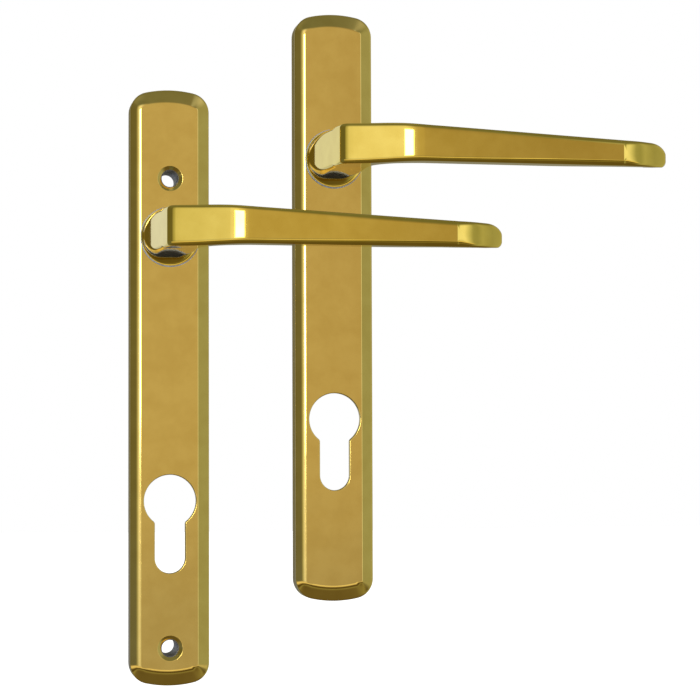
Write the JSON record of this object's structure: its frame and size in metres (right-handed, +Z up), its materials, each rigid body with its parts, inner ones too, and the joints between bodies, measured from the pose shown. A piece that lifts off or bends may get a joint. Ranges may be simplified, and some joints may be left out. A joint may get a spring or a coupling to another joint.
{
  "type": "lever door handle pair on long backplates",
  "caption": "Pair of polished brass lever door handles on narrow bevelled backplates with euro-profile cylinder cut-outs and sprung levers.",
  "frame": {"origin": "inside handle's spindle axis, in the plane of the plates' back rims", "axes": "+Z up along the plates, +X along the levers, +Y along the spindle into the door, -Y out into the room"},
  "size_m": [0.1806, 0.125, 0.2361],
  "materials": {
    "polished_brass": "mirror polished and lacquered brass plate on a zinc casting",
    "plated_steel": "bright zinc plate",
    "spring_steel": "oiled spring steel",
    "nylon": "natural nylon",
    "grey_washer": "smooth grey acetal"
  },
  "bodies": {
    "root": {"inside_backplate": "polished_brass", "inside_bearing_bush": "nylon", "inside_face_washer": "grey_washer", "inside_return_spring": "spring_steel", "inside_spring_cover": "plated_steel", "inside_cover_screws": "plated_steel", "inside_shim_washer": "plated_steel", "outside_backplate": "polished_brass", "outside_bearing_bush": "nylon", "outside_face_washer": "grey_washer", "outside_return_spring": "spring_steel", "outside_spring_cover": "plated_steel", "outside_cover_screws": "plated_steel", "outside_shim_washer": "plated_steel", "outside_threaded_posts": "plated_steel"},
    "inside_lever": {"inside_lever": "polished_brass", "inside_drive_cam": "plated_steel", "inside_circlip": "spring_steel", "spindle": "plated_steel"},
    "outside_lever": {"outside_lever": "polished_brass", "outside_drive_cam": "plated_steel", "outside_circlip": "spring_steel"}
  },
  "joints": [
    {"name": "inside_lever_turn", "type": "hinge", "parent": "root", "child": "inside_lever", "pos_m": [0, 0, 0], "axis": [0, 1, 0], "range_deg": [0, 40], "stiffness_Nm_per_rad": 0.5, "springref_deg": -34.38, "deforming": ["inside_return_spring"]},
    {"name": "outside_lever_turn", "type": "hinge", "parent": "root", "child": "outside_lever", "pos_m": [0.0582, 0, 0.0284], "axis": [0, 1, 0], "range_deg": [0, 40], "stiffness_Nm_per_rad": 0.5, "springref_deg": -34.38, "deforming": ["outside_return_spring"]}
  ],
  "couplings": [
    {"joint": "outside_lever_turn", "follows": "inside_lever_turn", "ratio": 1}
  ]
}
